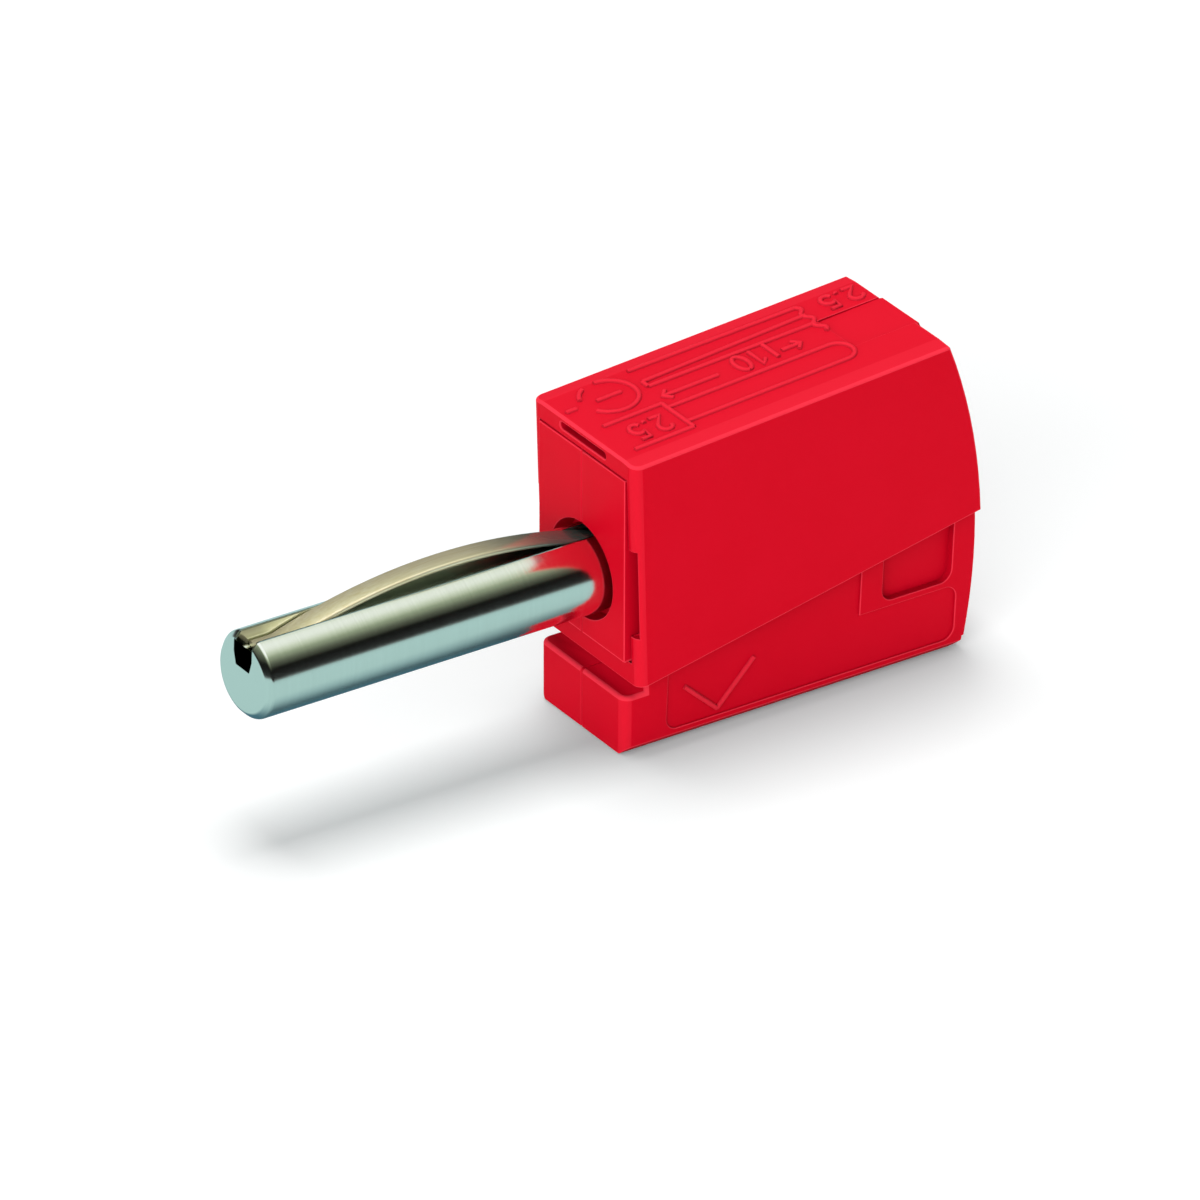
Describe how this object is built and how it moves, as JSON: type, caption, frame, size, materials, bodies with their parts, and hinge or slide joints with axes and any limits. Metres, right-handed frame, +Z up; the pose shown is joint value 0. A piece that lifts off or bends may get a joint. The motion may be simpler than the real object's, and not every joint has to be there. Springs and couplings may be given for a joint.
{
  "type": "banana plug",
  "caption": "Banana plug with a slotted round pin, a bowed contact leaf and a red insulating housing with a sloping clip-on cover and a tension clamp.",
  "frame": {"origin": "centre of the housing's underside, on the seam between the two shells", "axes": "+X from the pin's tip to the conductor entry, along the pin; +Y across the housing; +Z up from the underside"},
  "size_m": [0.0368, 0.0076, 0.0161],
  "materials": {
    "nickel_plate": "polished",
    "spring_bronze": "polished",
    "tinned_copper": "satin",
    "spring_steel": "satin",
    "red_plastic": "satin"
  },
  "bodies": {
    "root": {"contact_pin": "nickel_plate", "contact_leaf": "spring_bronze", "current_bar": "tinned_copper", "clamp_spring": "spring_steel", "left_shell": "red_plastic", "right_shell": "red_plastic", "cover": "red_plastic"}
  },
  "joints": []
}
